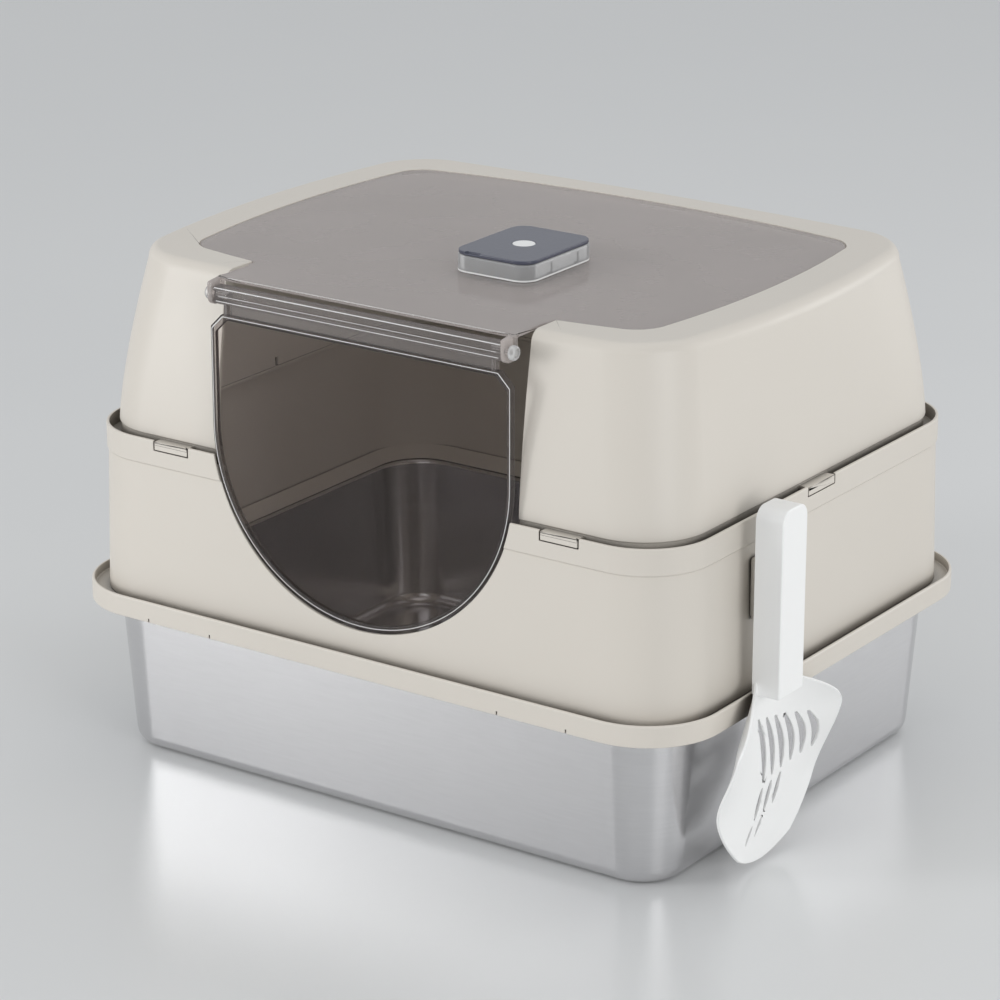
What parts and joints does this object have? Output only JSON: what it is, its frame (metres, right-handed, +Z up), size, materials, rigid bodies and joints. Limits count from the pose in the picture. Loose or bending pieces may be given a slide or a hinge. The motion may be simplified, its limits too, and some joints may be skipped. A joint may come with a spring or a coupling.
{
  "type": "hooded cat litter box",
  "caption": "Hooded cat litter box with a deep steel pan, clip-on splash fence, tapered hood, tinted top panel, swinging clear entry flap, deodorizer box and side-hung scoop.",
  "frame": {"origin": "middle of the flat underside of the steel pan, on the floor", "axes": "+X along the front from left to right, towards the side that carries the scoop; the entry faces -Y; +Z up"},
  "size_m": [0.5241, 0.4018, 0.3708],
  "materials": {
    "pan_steel": "satin polished",
    "beige_plastic": "satin moulded",
    "smoke_clear": "smoky clear polished",
    "clear_plastic": "clear polished",
    "slate_plastic": "gloss",
    "white_plastic": "soft gloss",
    "charcoal_felt": "felt"
  },
  "bodies": {
    "pan": {"steel_pan": "pan_steel"},
    "ring": {"rim_ring": "beige_plastic"},
    "fence": {"splash_fence": "beige_plastic", "scoop_hook": "beige_plastic"},
    "hood": {"hood_shell": "beige_plastic"},
    "top": {"top_panel": "smoke_clear", "hinge_pin_left": "clear_plastic", "hinge_pin_right": "clear_plastic", "deodorizer_case": "clear_plastic", "charcoal_pack": "charcoal_felt"},
    "flap": {"entry_flap": "smoke_clear"},
    "lid": {"deodorizer_lid": "slate_plastic", "scent_pad": "white_plastic"},
    "scoop": {"litter_scoop": "white_plastic"}
  },
  "joints": [
    {"name": "ring_lift", "type": "slide", "parent": "pan", "child": "ring", "axis": [0, 0, 1], "range_m": [0, 0.05]},
    {"name": "fence_lift", "type": "slide", "parent": "ring", "child": "fence", "axis": [0, 0, 1], "range_m": [0, 0.12]},
    {"name": "hood_lift", "type": "slide", "parent": "fence", "child": "hood", "axis": [0, 0, 1], "range_m": [0, 0.14]},
    {"name": "panel_lift", "type": "slide", "parent": "hood", "child": "top", "axis": [0, 0, 1], "range_m": [0, 0.08]},
    {"name": "flap_swing", "type": "hinge", "parent": "top", "child": "flap", "pos_m": [0, -0.186, 0.3463], "axis": [1, 0, 0], "range_deg": [-80, 75]},
    {"name": "lid_lift", "type": "slide", "parent": "top", "child": "lid", "axis": [0, 0, 1], "range_m": [0, 0.03]},
    {"name": "scoop_lift", "type": "slide", "parent": "fence", "child": "scoop", "axis": [0.5, 0, 0.866], "range_m": [0, 0.12]}
  ]
}
